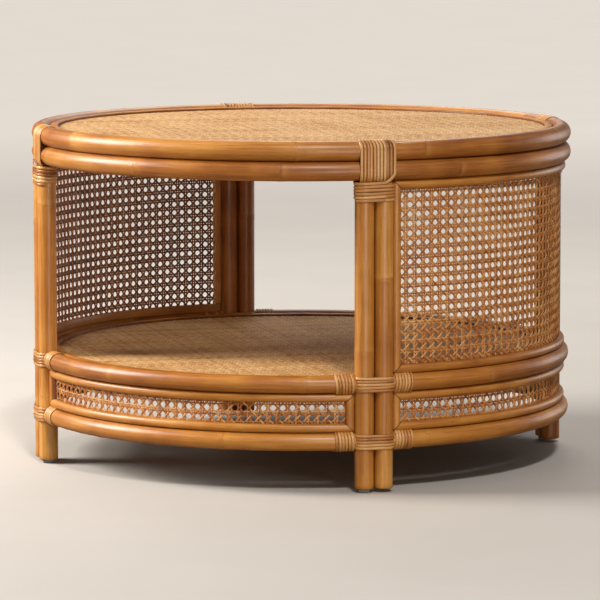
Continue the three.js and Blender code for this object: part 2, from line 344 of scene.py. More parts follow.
def add_legs():
    rng = np.random.default_rng(SEEDS["legs"])
    top = RIM_LOWER_Z - RIM_POLE - LEG_SHORT
    for corner in CORNERS:
        for kind, other in (("open", "panel"), ("panel", "open")):
            centre = leg_centre(corner, kind)
            partner = leg_centre(corner, other) - centre

            def place(rows, centre=centre):
                points = np.column_stack([np.tile(centre, (len(rows), 1)), LEG_FOOT + rows])
                return points, np.tile([1.0, 0, 0], (len(rows), 1)), np.tile([0, 1.0, 0], (len(rows), 1))

            solids = Solids()
            # Stain and painted shade along the line where the leg touches its partner.
            dark = [(math.atan2(partner[1], partner[0]), 0.4, 0.6)]
            # The tone carries painted light and shade: darker at the rear, paler at the front left and on the
            # open side.
            tone = LEG_TONES_AND_LIGHT[corner] + (PARTNER_TONE_AND_LIGHT if kind == "open" else -PARTNER_TONE_AND_LIGHT)
            pole(solids, place, top - LEG_FOOT, LEG_POLE, rng, dark, tone)
            name = f"leg_pole_{corner}_{kind}_side"
            solids.build("rattan_" + name, name, POLE_FINISH)


# ---- Peel bindings ----

ROWS_PER_TURN = 64
RIM_TURNS = 11
COLLAR_TURNS = 5.3
RAIL_TURNS = 6
CLEAR = 0.15 * MM  # between a pole and the strand wound round it
RIM_SHIFT = 2.6 * MM  # of the turns over the rims, towards the closed side
UP = np.array([0.0, 0.0, 1.0])


def peel_section(width, thick):
    """Flat below and domed above, as rows of (across, away)."""
    angle = np.linspace(0, math.pi, 9)
    return np.column_stack([np.cos(angle) * width / 2, np.sin(angle) ** 0.7 * thick])


def strand(solids, centre, away, tone, width=PEEL_WIDTH):
    """A strip of peel along centre, its flat side towards -away."""
    section = peel_section(width, PEEL_THICK)
    across = unit(np.cross(np.gradient(centre, axis=0), away))
    points = centre[:, None] + section[:, 0, None] * across[:, None] + section[:, 1, None] * away[:, None]
    tone = np.broadcast_to(tone, len(centre))[:, None]
    edge = np.abs(section[:, 0]) / (width / 2)
    # Darker towards its edges, in the gaps between neighbouring turns.
    solids.grid(points, lengths(centre)[:, None], section[None, :, 0], tone, 0.9 * edge[None, :] ** 5)


def strand_tones(count, rng):
    """Tones of neighbouring turns: close to each other, with the odd darker one."""
    tones = rng.uniform(0.25, 0.85, count)
    return np.where(rng.uniform(0, 1, count) < 0.14, 0.05, tones)


class Corner:
    """Places beside one corner's leg pair, where along counts from its middle towards the closed side."""

    def __init__(self, name):
        self.middle = EIGHTH * CORNERS[name]
        self.turn = 1 if name in ("front_right", "rear_left") else -1
        self.out = outwards(self.middle)
        self.ahead = np.cross(UP, self.out) * self.turn

    def on_rings(self, radius, along, z):
        """Points that follow the rings, and the outward vector at each."""
        angle = self.middle + self.turn * along / RING_RADIUS
        return on_ring(radius, angle, z), outwards(angle)

    def on_legs(self, out, along, z):
        """Points in the leg pair's own straight axes, measured from its middle."""
        out, along, z = np.broadcast_arrays(out, along, z)
        return (LEG_CIRCLE + out)[:, None] * self.out + along[:, None] * self.ahead + z[:, None] * UP


RIM_HALF = (RIM_UPPER_Z - RIM_LOWER_Z) / 2
RIM_MIDDLE_Z = (RIM_UPPER_Z + RIM_LOWER_Z) / 2
WRAP_DROP = 4.5 * MM  # how far the turns hang below the lower rim before they turn under it
WRAP_RADIUS = RIM_POLE + CLEAR
COLLAR_TOP_Z = RIM_LOWER_Z - RIM_POLE - 2.2 * MM
COLLAR_START = 11 * MM  # from the middle of the legs' outer side to where the slant joins the collar
SLANT_REACH = 12 * MM  # how strongly the slant keeps to the lines it joins
SLANT_POINTS = 14


def stadium(distance, half, radius):
    """A point and normal on a stadium's outline, at a distance from the start of its straight side at +x."""
    straight, arc = 2 * half, math.pi * radius
    distance = distance % (2 * (straight + arc))
    over = np.clip(distance - straight, 0, arc) / radius
    under = np.clip(distance - 2 * straight - arc, 0, arc) / radius
    y = np.clip(distance, 0, straight) - np.clip(distance - straight - arc, 0, straight) - half
    normal = np.stack([np.cos(over + under), np.sin(over + under)], -1)
    return radius * normal + np.stack([np.zeros_like(y), y], -1), normal


def rim_turns(corner, rng):
    """Centres, away vectors and tones of a strand wound round both rims. Each turn runs up inside, steps
    one place towards the closed side as it crosses the top, and comes straight down outside."""
    half, arc = RIM_HALF + WRAP_DROP / 2, math.pi * WRAP_RADIUS
    straight = 2 * half
    whole = 2 * (straight + arc)
    last = (RIM_TURNS - 1) + (1.97 * straight + 1.5 * arc) / whole
    turns = np.arange(0, last, 1 / ROWS_PER_TURN)
    distance = turns % 1 * whole - arc / 2
    outline, normal = stadium(distance, half, WRAP_RADIUS)
    number = turns.astype(int)
    crossing = np.clip((distance - straight) / arc * 1.25, 0, 1)
    stray = rng.uniform(-0.42, 0.42, RIM_TURNS + 1) * MM
    along = RIM_SHIFT + (number + crossing - RIM_TURNS / 2 - 0.5) * RIM_PITCH
    along = along + stray[number] * (1 - crossing) + stray[number + 1] * crossing
    height = RIM_MIDDLE_Z - WRAP_DROP / 2 + outline[:, 1]
    points, out = corner.on_rings(RING_RADIUS - outline[:, 0], along, height)
    away = normal[:, 1:] * UP - normal[:, :1] * out
    return points, away, strand_tones(RIM_TURNS, rng)[number]


def round_legs(corner, distance, margin, z):
    """Points and away vectors round a leg pair, counted along it from its outer side's open end."""
    outline, normal = stadium(distance, LEG_OFFSET, LEG_POLE + margin)
    points = corner.on_legs(outline[:, 0], outline[:, 1], z)
    return points, normal[:, :1] * corner.out + normal[:, 1:] * corner.ahead


def collar_turns(corner, rng):
    """The same for the strand wound round the tops of both legs, from the closed side's leg onwards."""
    around = 4 * LEG_OFFSET + TURN * (LEG_POLE + CLEAR)
    turns = np.arange(0, COLLAR_TURNS, 1 / ROWS_PER_TURN)
    start = LEG_OFFSET + COLLAR_START
    ripple = 0.25 * MM * np.sin(TURN * turns * 1.7 + rng.uniform(0, TURN))
    height = COLLAR_TOP_Z - turns * COLLAR_PITCH + ripple
    points, away = round_legs(corner, start - turns * around, CLEAR, height)
    return points, away, strand_tones(math.ceil(COLLAR_TURNS), rng)[turns.astype(int)]


def bridge(start, start_slope, end, end_slope, count):
    """Points of a curve between two places, leaving and arriving at the given slopes."""
    t = np.linspace(0, 1, count)[:, None]
    return (
        (2 * t**3 - 3 * t**2 + 1) * start
        + (t**3 - 2 * t**2 + t) * start_slope
        + (3 * t**2 - 2 * t**3) * end
        + (t**3 - t**2) * end_slope
    )


def rim_binding(solids, corner, rng):
    """One long strand: the turns over the rims, a slant down to the legs, and the collar round them."""
    turns, turns_away, turns_tone = rim_turns(corner, rng)
    collar, collar_away, collar_tone = collar_turns(corner, rng)
    leaving = unit(turns[-1] - turns[-2]) * SLANT_REACH
    arriving = unit(collar[1] - collar[0]) * SLANT_REACH
    slant = bridge(turns[-1], leaving, collar[0], arriving, SLANT_POINTS)[1:-1]
    share = np.linspace(0, 1, len(slant))[:, None]
    slant_away = unit(turns_away[-1] * (1 - share) + collar_away[0] * share)
    slant_tone = np.full(len(slant), turns_tone[-1])
    strand(
        solids,
        np.concatenate([turns, slant, collar]),
        np.concatenate([turns_away, slant_away, collar_away]),
        np.concatenate([turns_tone, slant_tone, collar_tone]),
    )


def rail_wrap(solids, corner, z, direction, rng):
    """A strand wound round a rail, from beside the leg pair outwards."""
    turns = np.arange(RAIL_TURNS * ROWS_PER_TURN) / ROWS_PER_TURN
    start = PAIR_HALF + PEEL_WIDTH / 2
    stray = rng.uniform(-0.25, 0.25, RAIL_TURNS + 1) * MM
    number = turns.astype(int)
    shift = stray[number] * (1 - turns % 1) + stray[number + 1] * (turns % 1)
    around = TURN * turns - QUARTER
    radius = RAIL_POLE + CLEAR
    points, out = corner.on_rings(
        RING_RADIUS + radius * np.cos(around),
        direction * (start + turns * RAIL_PITCH + shift),
        z + radius * np.sin(around),
    )
    away = np.cos(around)[:, None] * out + np.sin(around)[:, None] * UP
    strand(solids, points, away, strand_tones(RAIL_TURNS, rng)[number])


CROSS_STRANDS = 5
CROSS_PITCH = 4.1 * MM
CROSS_TUCK = 5 * MM  # of the leg pair's outline at each end, inside the rail's turns
CROSS_POINTS = 44


def cross_strands(solids, corner, z, rng):
    """Level strands over the outer and the inner side of a leg pair, tucked in beside the rails."""
    quarter_round = QUARTER * (LEG_POLE + CLEAR)
    reach = 2 * LEG_OFFSET + 2 * quarter_round
    for first in (-quarter_round, 2 * LEG_OFFSET + quarter_round):
        for i in range(CROSS_STRANDS):
            height = z + (i - (CROSS_STRANDS - 1) / 2) * CROSS_PITCH
            distance = first + np.linspace(CROSS_TUCK, reach - CROSS_TUCK, CROSS_POINTS)
            tilt = rng.uniform(-0.35, 0.35) * MM * np.linspace(-1, 1, len(distance))
            margin = rng.uniform(0.5, 1.3) * MM
            points, away = round_legs(corner, distance, margin, height + tilt)
            strand(solids, points, away, strand_tones(1, rng)[0], width=CROSS_PITCH + 0.1 * MM)


def add_bindings():
    rng = np.random.default_rng(SEEDS["bindings"])
    for name in CORNERS:
        corner = Corner(name)
        solids = Solids()
        rim_binding(solids, corner, rng)
        solids.build(f"peel_rim_binding_{name}", f"rim_binding_{name}", PEEL_FINISH)
        for level, z in (("shelf", SHELF_Z), ("base", BASE_Z)):
            solids = Solids()
            for direction in (-1, 1):
                rail_wrap(solids, corner, z, direction, rng)
            cross_strands(solids, corner, z, rng)
            solids.build(f"peel_{level}_binding_{name}", f"{level}_binding_{name}", PEEL_FINISH)


# ---- Frames round the cane ----

BAR_POINTS = 15
BAR_STEP = 7 * MM
BAR_EASE = 0.9 * MM  # radius of a flat bar's edges
MITRE_GAP = 0.25 * MM
MITRE_STAIN = 0.7 * MM  # how far it reaches from a bar's end


def half_round(depth):
    """Rows of (share of the breadth from 0 to 1, outwards) of a half-round bar with a flat back."""
    angle = np.linspace(-QUARTER, QUARTER, BAR_POINTS)
    return np.column_stack([(np.sin(angle) + 1) / 2, np.cos(angle) ** 0.75 * depth])


def flat_bar(breadth, depth):
    """The same for a flat bar that lies inwards and has eased edges."""
    corner = np.linspace(0, QUARTER, 4)
    share = BAR_EASE / breadth
    near = np.column_stack([share * (1 - np.cos(corner)), -depth + BAR_EASE * (1 - np.sin(corner))])
    far = np.column_stack([1 - near[::-1, 0], near[::-1, 1]])
    return np.vstack([[0, 0], near, far, [1, 0]])


def bar_rows(length):
    """Distances along a bar, closer together towards its two ends."""
    close = np.array([0, 0.4, 0.9, 1.6, 2.6, 4.0]) * MM
    between = np.linspace(6 * MM, length - 6 * MM, int(length / BAR_STEP))
    return np.concatenate([close, between, length - close[::-1]])


def bar_shade(rows, share):
    """Darker along a bar's edges, and stain at its mitred ends."""
    end = np.minimum(rows, rows[-1] - rows)
    return 0.35 * np.abs(2 * share[None, :] - 1) ** 6 + 0.9 * hump(end[:, None], MITRE_STAIN)


def bar(solids, back, section, run, edges, cut, upright, rng):
    """A bar along the ring, or upright. run holds its two ends and edges its outer and inner edge, measured
    along the ring and up. Its ends are cut back by cut towards its inner edge."""
    share = section[:, 0]
    trim = MITRE_GAP + share * cut
    length = run[1] - run[0]
    rows = bar_rows(length)
    along = run[0] + trim + (rows / rows[-1])[:, None] * (length - 2 * trim)
    across = edges[0] + (edges[1] - edges[0]) * share[None, :]
    place, z = (across, along) if upright else (along, across)
    points = on_ring(back + section[None, :, 1], place / RING_RADIUS, z)
    along = along + rng.uniform(0, 3)
    solids.grid(points, along, share[None, :] * RAIL_HEIGHT, rng.uniform(0.3, 0.8), bar_shade(rows, share))


def opening(side):
    """The angles at which a side's frame starts and ends, touching the leg pairs."""
    reach = (PAIR_HALF - 0.2 * MM) / RING_RADIUS
    return EIGHTH * SIDES[side] + reach, EIGHTH * (SIDES[side] + 2) - reach


def frame_rail(solids, side, outer_z, inner_z, rng):
    """A half-round moulding outside and a flat batten inside, along one edge of a side's cane."""
    start, end = (angle * RING_RADIUS for angle in opening(side))
    edges = (outer_z, inner_z)
    bar(solids, MOULDING_BACK, half_round(MOULDING_PROUD), (start, end), edges, STILE_WIDTH, False, rng)
    run = (start + BATTEN_SHIFT, end - BATTEN_SHIFT)
    bar(solids, BATTEN_FACE, flat_bar(RAIL_HEIGHT, BATTEN_DEPTH), run, edges, 0, False, rng)


def frame_stile(solids, side, at_start, bottom, top, rng):
    """The same beside one of the leg pairs."""
    inwards = 1 if at_start else -1
    outer = opening(side)[0 if at_start else 1] * RING_RADIUS
    inner = outer + inwards * STILE_WIDTH
    edges = (outer, inner)
    bar(solids, MOULDING_BACK, half_round(MOULDING_PROUD), (bottom, top), edges, RAIL_HEIGHT, True, rng)
    section = flat_bar(STILE_WIDTH - BATTEN_SHIFT, BATTEN_DEPTH)
    edges = (outer + inwards * BATTEN_SHIFT, inner)
    bar(solids, BATTEN_FACE, section, (bottom + RAIL_HEIGHT, top - RAIL_HEIGHT), edges, 0, True, rng)


def add_frames():
    rng = np.random.default_rng(SEEDS["frames"])
    for side in SIDES:
        low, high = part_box(f"band_frame_{side}")
        solids = Solids()
        frame_rail(solids, side, high.z, high.z - RAIL_HEIGHT, rng)
        frame_rail(solids, side, low.z, low.z + RAIL_HEIGHT, rng)
        for at_start in (True, False):
            frame_stile(solids, side, at_start, low.z, high.z, rng)
        solids.build(f"rattan_band_frame_{side}", f"band_frame_{side}", MOULDING_FINISH)
    for side in ("right", "left"):
        bottom, top = panel_span(side)
        for edge, outer_z, inwards in (("bottom", bottom, 1), ("top", top, -1)):
            solids = Solids()
            frame_rail(solids, side, outer_z, outer_z + inwards * RAIL_HEIGHT, rng)
            name = f"{side}_panel_{edge}_rail"
            solids.build("rattan_" + name, name, MOULDING_FINISH)
        for at_start in (True, False):
            solids = Solids()
            frame_stile(solids, side, at_start, bottom, top, rng)
            name = f"{side}_panel_{'front' if at_start == (side == 'right') else 'rear'}_stile"
            solids.build("rattan_" + name, name, MOULDING_FINISH)


def panel_span(side):
    """The heights of a tall panel's lowest and highest edges."""
    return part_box(f"{side}_panel_bottom_rail")[0].z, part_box(f"{side}_panel_top_rail")[1].z


# ---- Cane webbing ----

CANE_TUCK = 3.5 * MM  # how far the strands run in behind the frame
WEAVE_LIFT = 0.55 * MM  # of an upright or level strand as it crosses its neighbours
DIAGONAL_LIFT = 1.0 * MM
CANE_SECTION = np.array([[-0.5, -0.4], [0.5, -0.4], [0.46, 0.15], [0.2, 0.5], [-0.2, 0.5], [-0.46, 0.15]])
STATIONS = np.array([-2, -1, 0, 1, 2]) * CANE_PAIR  # round each crossing of two pairs
INNER_FACE_SHADE = 0.65  # how much darker a strand's inner face is: partly the pithy back's duller colour, partly painted shade for the table's shaded inside
# The pattern's repeat (across, up), and the share of it by which a sheet is shifted.
PANEL_PITCH = (12.7 * MM, 12.7 * MM)
PANEL_PHASES = {"right": (0.62, 0.76), "left": (0.58, 0.06)}
BAND_PITCH = (13.1 * MM, 13.6 * MM)
BAND_PHASES = {side: (0.23 * i, 0.46) for i, side in enumerate(SIDES)}
STAINED_SHARE = 0.05  # of the strands


class Webbing:
    """One sheet of six-way cane. Its own x runs along the ring from the side's middle, and its y up."""

    def __init__(self, side, bottom, top, pitch, phase, seed):
        start, end = opening(side)
        self.middle = (start + end) / 2
        self.half = (end - start) / 2 * CANE_RADIUS - STILE_WIDTH + CANE_TUCK
        self.low, self.high = bottom - CANE_TUCK, top + CANE_TUCK
        self.pitch = pitch
        self.phase = (phase[0] * pitch[0], bottom + phase[1] * pitch[1])
        self.rng = np.random.default_rng(seed)
        self.waves = self.rng.uniform(0, TURN, 4)

    def lines(self, axis, low, high, phase):
        """Places, between low and high, of the middles of the strand pairs."""
        first = math.ceil((low - phase) / self.pitch[axis] - 0.5)
        last = math.floor((high - phase) / self.pitch[axis] - 0.5)
        return phase + (np.arange(first, last + 1) + 0.5) * self.pitch[axis]

    def stretched(self, x, y):
        """The sheet was never pulled quite even: its rows and columns wander a little."""
        wave = self.waves
        height = y - self.low
        return (
            x + 1.1 * MM * np.sin(height / 0.062 + x / 0.3 + wave[0]) + 0.5 * MM * np.sin(x / 0.05 + wave[1]),
            y + 0.9 * MM * np.sin(x / 0.07 + wave[2]) + 0.4 * MM * np.sin(height / 0.04 + x / 0.11 + wave[3]),
        )

    def strand(self, solids, x, y, lift, across, width):
        width = width * self.rng.uniform(0.9, 1.06)
        wander = 0.1 * MM * np.sin(np.arange(len(x)) * 0.45 + self.rng.uniform(0, TURN))
        section = CANE_SECTION * [width, CANE_THICK]
        sideways = section[None, :, 0] + wander[:, None]
        along = np.hypot(x - x[0], y - y[0])[:, None] + self.rng.uniform(0, 9)
        x, y = self.stretched(x, y)
        angle = self.middle + (x[:, None] + sideways * across[0]) / CANE_RADIUS
        z = y[:, None] + sideways * across[1]
        points = on_ring(CANE_RADIUS + lift[:, None] + section[None, :, 1], angle, z)
        tone = self.rng.uniform(0.15, 1)
        stained = 0.5 if self.rng.uniform() < STAINED_SHARE else 0.0
        # Painted shade where a strand dips under its neighbours.
        dipping_shade = np.maximum(-lift / DIAGONAL_LIFT, 0)[:, None]
        # Painted shade, with the pith's duller colour: the inner face and lower sides are darker, which also
        # deepens the gaps seen from outside.
        back = np.where(section[None, :, 1] < 0, INNER_FACE_SHADE, 0.0)
        solids.grid(points, along, section[None, :, 0], tone, stained + 0.3 * dipping_shade + back)

    def straight(self, solids, upright):
        """All the upright, or all the level, strands: pairs that weave over and under each other's pairs."""
        spans = ((-self.half, self.half), (self.low, self.high))
        own, run = (0, 1) if upright else (1, 0)
        own_span, run_span = spans[own], spans[run]
        pitch = self.pitch[run]
        crossings = self.lines(run, run_span[0] - pitch, run_span[1] + pitch, self.phase[run])
        half_way = crossings[:, None] + pitch / 2
        stations = np.concatenate([crossings[:, None] + STATIONS, half_way], axis=1).ravel()
        wave = np.tile([0, -1, 0, 1, 0, 0], len(crossings)) * (1 if upright else -1)
        inside = (stations > run_span[0]) & (stations < run_span[1])
        stations, wave = stations[inside], wave[inside]
        for line in self.lines(own, own_span[0] - CANE_PAIR, own_span[1] + CANE_PAIR, self.phase[own]):
            for partner in (-1, 1):
                place = line + partner * CANE_PAIR
                if not own_span[0] < place < own_span[1]:
                    continue
                fixed = np.full(len(stations), place)
                lift = partner * wave * WEAVE_LIFT
                if upright:
                    self.strand(solids, fixed, stations, lift, (1, 0), CANE_WIDTH)
                else:
                    self.strand(solids, stations, fixed, lift, (0, 1), CANE_WIDTH)

    def diagonal(self, solids, slope):
        """All the diagonals one way: over the pairs that run one way and under those that run the other."""
        run = self.pitch[0] / 8
        tilt = slope * self.pitch[1] / self.pitch[0]
        reach = self.half + (self.high - self.low) / abs(tilt) + self.pitch[0]
        steps = np.arange(-math.ceil(reach / run), math.ceil(reach / run) + 1) * run
        across = np.array([-tilt, 1.0]) / math.hypot(tilt, 1.0)
        for start in self.lines(0, -reach, reach, 0.0):
            x = self.phase[0] + steps
            y = self.phase[1] + tilt * (steps - start)
            inside = (np.abs(x) < self.half) & (y > self.low) & (y < self.high)
            if inside.sum() < 4:
                continue
            lift = -slope * DIAGONAL_LIFT * np.cos(TURN * steps[inside] / self.pitch[0])
            self.strand(solids, x[inside], y[inside], lift, across, DIAGONAL_WIDTH)

    def build(self, node):
        for part, draw, way in (
            ("uprights", self.straight, True),
            ("levels", self.straight, False),
            ("diagonals_rising", self.diagonal, 1),
            ("diagonals_falling", self.diagonal, -1),
        ):
            solids = Solids()
            draw(solids, way)
            solids.build(f"woven_{node}_{part}", node, CANE_FINISH)


CORD_PLY = 1.25 * MM
CORD_SWELL = 1.15  # a ply's radius, in CORD_PLY, so that the two press into each other
CORD_LAY = 18 * MM  # one full twist
CORD_STEP = 0.8 * MM
CORD_SIDES = 10
CORD_INSIDE = 4.2 * MM  # from the webbing in to the cord's middle
CORD_BESIDE = 1.2 * MM  # from the frame's edge to the cord's middle


def edge_cord(side, seed):
    """A two-ply twisted cord up each end of a tall panel, inside, where the webbing meets its frame."""
    rng = np.random.default_rng(seed)
    start, end = opening(side)
    bottom, top = panel_span(side)
    solids = Solids()
    z = np.arange(bottom + RAIL_HEIGHT, top - RAIL_HEIGHT, CORD_STEP)
    around = np.arange(CORD_SIDES) / CORD_SIDES * TURN
    for outer, inwards in ((start, 1), (end, -1)):
        middle = outer + inwards * (STILE_WIDTH + CORD_BESIDE) / RING_RADIUS
        for ply in (0, math.pi):
            twist = TURN * (z - z[0]) / CORD_LAY + ply
            out = CORD_PLY * (np.cos(twist)[:, None] + CORD_SWELL * np.cos(around))
            aside = CORD_PLY * (np.sin(twist)[:, None] + CORD_SWELL * np.sin(around))
            radius = CANE_RADIUS - CORD_INSIDE + out
            angle = middle + aside / RING_RADIUS
            points = on_ring(radius, angle, z[:, None])
            # Painted shade on each ply where it presses into the other, in the crease between them.
            ply_crease_shade = 0.6 * np.clip(np.cos(around[None, :] - twist[:, None] - math.pi), 0, 1) ** 2
            solids.grid(points, z[:, None], around[None, :] * CORD_PLY, rng.uniform(0.7, 1), ply_crease_shade)
    solids.build(f"cord_{side}_panel_edges", f"{side}_panel_cane", CANE_FINISH)


def add_webbing():
    for i, (side, phase) in enumerate(PANEL_PHASES.items()):
        bottom, top = panel_span(side)
        span = (bottom + RAIL_HEIGHT, top - RAIL_HEIGHT)
        sheet = Webbing(side, *span, PANEL_PITCH, phase, SEEDS["panels"] + i)
        sheet.build(f"{side}_panel_cane")
        edge_cord(side, SEEDS["cords"] + i)
    for i, (side, phase) in enumerate(BAND_PHASES.items()):
        low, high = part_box(f"band_frame_{side}")
        span = (low.z + RAIL_HEIGHT, high.z - RAIL_HEIGHT)
        sheet = Webbing(side, *span, BAND_PITCH, phase, SEEDS["bands"] + i)
        sheet.build(f"band_cane_{side}")


# ---- Mats and their trim ----

MAT_PITCH = 3.6 * MM
MAT_TURNBACK = 12  # strips between two reversals of the herringbone
MAT_THICK = 1.1 * MM
MAT_LIFT = 0.42 * MM  # of an upper strip above the middle of the weave, and of a lower one below it
MAT_SUNK = 1.5 * MM  # from the frame's mat face down to the middle of an upper strip
MAT_MARGIN = 2 * MM  # how far the strips run in under the trim
MAT_SECTION = np.array([[-0.5, 0.0], [0.0, -0.3], [0.5, 0.0], [0.0, 0.5]])


def herringbone(i, j):
    """True where the strip along y lies on top: a two-and-two twill that turns back on itself."""
    fold = j % (2 * MAT_TURNBACK)
    climb = np.where(fold < MAT_TURNBACK, fold, 2 * MAT_TURNBACK - 1 - fold)
    return (i + climb) % 4 < 2


def float_middles(over):
    """Where each run of equal values in over has its middle, and whether it lies on top."""
    edges = np.flatnonzero(np.diff(over.astype(int))) + 1
    starts = np.concatenate([[0], edges])
    ends = np.concatenate([edges, [len(over)]])
    return (starts + ends - 1) / 2, over[starts]


def add_mat(name, seed):
    """A close herringbone mat of flat strips, turned an eighth of a turn to the open sides."""
    rng = np.random.default_rng(seed)
    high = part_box(f"{name}_mat")[1]
    radius = high.x + MAT_MARGIN
    level = high.z - MAT_LIFT - MAT_SUNK
    count = int(2 * radius / MAT_PITCH)
    places = (np.arange(count) - (count - 1) / 2) * MAT_PITCH
    strips = np.arange(count)
    for way, along_y in (("warp", True), ("weft", False)):
        solids = Solids()
        for k in strips:
            this = np.full(count, k)
            over = herringbone(this, strips) if along_y else ~herringbone(strips, this)
            half = math.sqrt(max(radius**2 - places[k] ** 2, 0))
            middles, on_top = float_middles(over)
            run = (middles - (count - 1) / 2) * MAT_PITCH
            inside = np.abs(run) < half
            if inside.sum() < 2:
                continue
            run, on_top = run[inside], on_top[inside]
            lift = np.where(on_top, MAT_LIFT, -MAT_LIFT)
            section = MAT_SECTION * [MAT_PITCH * rng.uniform(0.9, 0.98), MAT_THICK]
            own = places[k] + 0.1 * MM * rng.standard_normal() + section[None, :, 0] + np.zeros((len(run), 1))
            heights = level + lift[:, None] + section[None, :, 1]
            runs = np.broadcast_to(run[:, None], own.shape)
            flat = (own, runs) if along_y else (runs, own)
            x = flat[0] * math.cos(EIGHTH) - flat[1] * math.sin(EIGHTH)
            y = flat[0] * math.sin(EIGHTH) + flat[1] * math.cos(EIGHTH)
            points = np.stack([x, y, heights], -1)
            # Painted shade: strips that dip under others are darker, and so is every strip's underside.
            shade = np.where(on_top, 0.0, 0.45)[:, None] + 0.3 * (section[None, :, 1] <= 0)
            along = run[:, None] + rng.uniform(0, 9)
            solids.grid(points, along, section[None, :, 0], rng.uniform(0, 1), shade)
        solids.build(f"woven_{name}_mat_{way}", f"{name}_mat", MAT_FINISH)


TRIM_OVERLAP = 1.0 * MM  # over the mat's edge
TRIM_BEAD = 1.6 * MM  # how far its crown stands above the frame's ring


def add_trim(name, seed):
    """A half-round strip bent into a ring, which covers the mat's edge beside the poles."""
    rng = np.random.default_rng(seed)
    low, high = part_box(f"{name}_trim_ring")
    inner = middle_and_half(f"{name}_mat", 0)[1] - TRIM_OVERLAP
    outer = high.x + 0.2 * MM
    angle = np.linspace(0, math.pi, 11)
    middle, half = (inner + outer) / 2, (outer - inner) / 2
    crown = high.z - low.z + TRIM_BEAD
    section_r = np.concatenate([middle + half * np.cos(angle), [inner, outer]])
    section_z = np.concatenate([low.z + crown * (0.35 + 0.65 * np.sin(angle) ** 0.7), [low.z, low.z]])
    around = np.linspace(0, TURN, 360, endpoint=False)[:, None]
    ripple = 0.2 * MM * np.sin(around * 31 + rng.uniform(0, TURN)) * np.sin(around * 7)
    points = on_ring(section_r[None, :], around, section_z[None, :] + ripple)
    solids = Solids()
    along = np.abs((around + rng.uniform(0, TURN)) % TURN - math.pi) * outer
    # Painted shade along both lower edges, in the creases against the mat and the rim.
    edge = 0.8 * (1 - np.concatenate([np.sin(angle), [0, 0]]))[None, :] ** 2
    solids.grid(points, along, (section_r - inner)[None, :], 0.5, edge, looped=True)
    solids.build(f"peel_{name}_trim_ring", f"{name}_trim_ring", TRIM_FINISH)


GLIDE_SIDES = 32
# From its underside to its top, as shares of its radius and height.
GLIDE_PROFILE = np.array([(0.2, 0), (0.8, 0), (0.93, 0.06), (1, 0.22), (1, 0.95), (0.96, 1), (0.2, 1)])


def add_glides():
    """Grey moulded glides with an eased lower edge."""
    around = np.arange(GLIDE_SIDES) / GLIDE_SIDES * TURN
    for corner in CORNERS:
        low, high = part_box(f"glide_{corner}")
        radius = (high.x - low.x) / 2 * GLIDE_PROFILE[:, :1]
        height = low.z + (high.z - low.z) * GLIDE_PROFILE[:, 1:]
        points = on_ring(radius, around, height) + [(low.x + high.x) / 2, (low.y + high.y) / 2, 0]
        solids = Solids()
        solids.grid(points, 0, 0)
        solids.build(f"moulded_glide_{corner}", f"glide_{corner}", GLIDE_FINISH)


# ---- Materials ----


def srgb(red, green, blue):
    """A linear colour from display values of 11 to 255."""
    return tuple(((value / 255 + 0.055) / 1.055) ** 2.4 for value in (red, green, blue)) + (1.0,)


class Shader:
    """The nodes of a material or world as nested calls: each adds one node and gives back an output."""

    def __init__(self, owner):
        owner.use_nodes = True
        self.owner = owner
        self.tree = owner.node_tree

    def put(self, socket, value):
        if isinstance(value, bpy.types.NodeSocket):
            self.tree.links.new(value, socket)
        else:
            socket.default_value = value

    def node(self, kind, inputs, output=0, **settings):
        made = self.tree.nodes.new("ShaderNode" + kind)
        for key, value in settings.items():
            setattr(made, key, value)
        for key, value in inputs.items():
            self.put(made.inputs[key], value)
        return made.outputs[output]

    def attribute(self, name, output):
        return self.node("Attribute", {}, output, attribute_name=name)

    def math(self, operation, a, b=0.0, c=0.0):
        return self.node("Math", {0: a, 1: b, 2: c}, operation=operation)

    def scaled(self, vector, scale):
        return self.node("VectorMath", {0: vector, 1: scale}, operation="MULTIPLY")

    def noise(self, vector, scale, detail=3.0, roughness=0.55):
        inputs = {"Vector": vector, "Scale": scale, "Detail": detail, "Roughness": roughness}
        return self.node("TexNoise", inputs)

    def ramp(self, value, stops):
        made = self.tree.nodes.new("ShaderNodeValToRGB")
        self.put(made.inputs[0], value)
        elements = made.color_ramp.elements
        while len(elements) < len(stops):
            elements.new(0.5)
        for element, (place, colour) in zip(elements, stops):
            element.position = place
            element.color = colour
        return made.outputs[0]

    def mixed(self, amount, a, b, blend="MIX"):
        made = self.tree.nodes.new("ShaderNodeMix")
        made.data_type = "RGBA"
        made.blend_type = blend
        for index, value in ((0, amount), (6, a), (7, b)):
            self.put(made.inputs[index], value)
        return made.outputs[2]

    def finish(self, **inputs):
        surface = self.tree.nodes["Principled BSDF"]
        for key, value in inputs.items():
            self.put(surface.inputs[key.replace("_", " ")], value)
        return self.owner


# The colour that the shade attribute darkens towards: real stain at joints, and painted shade in creases,
# hollows and undersides.
STAIN_AND_SHADE = srgb(104, 58, 24)
COAT_ROUGHNESS = 0.32


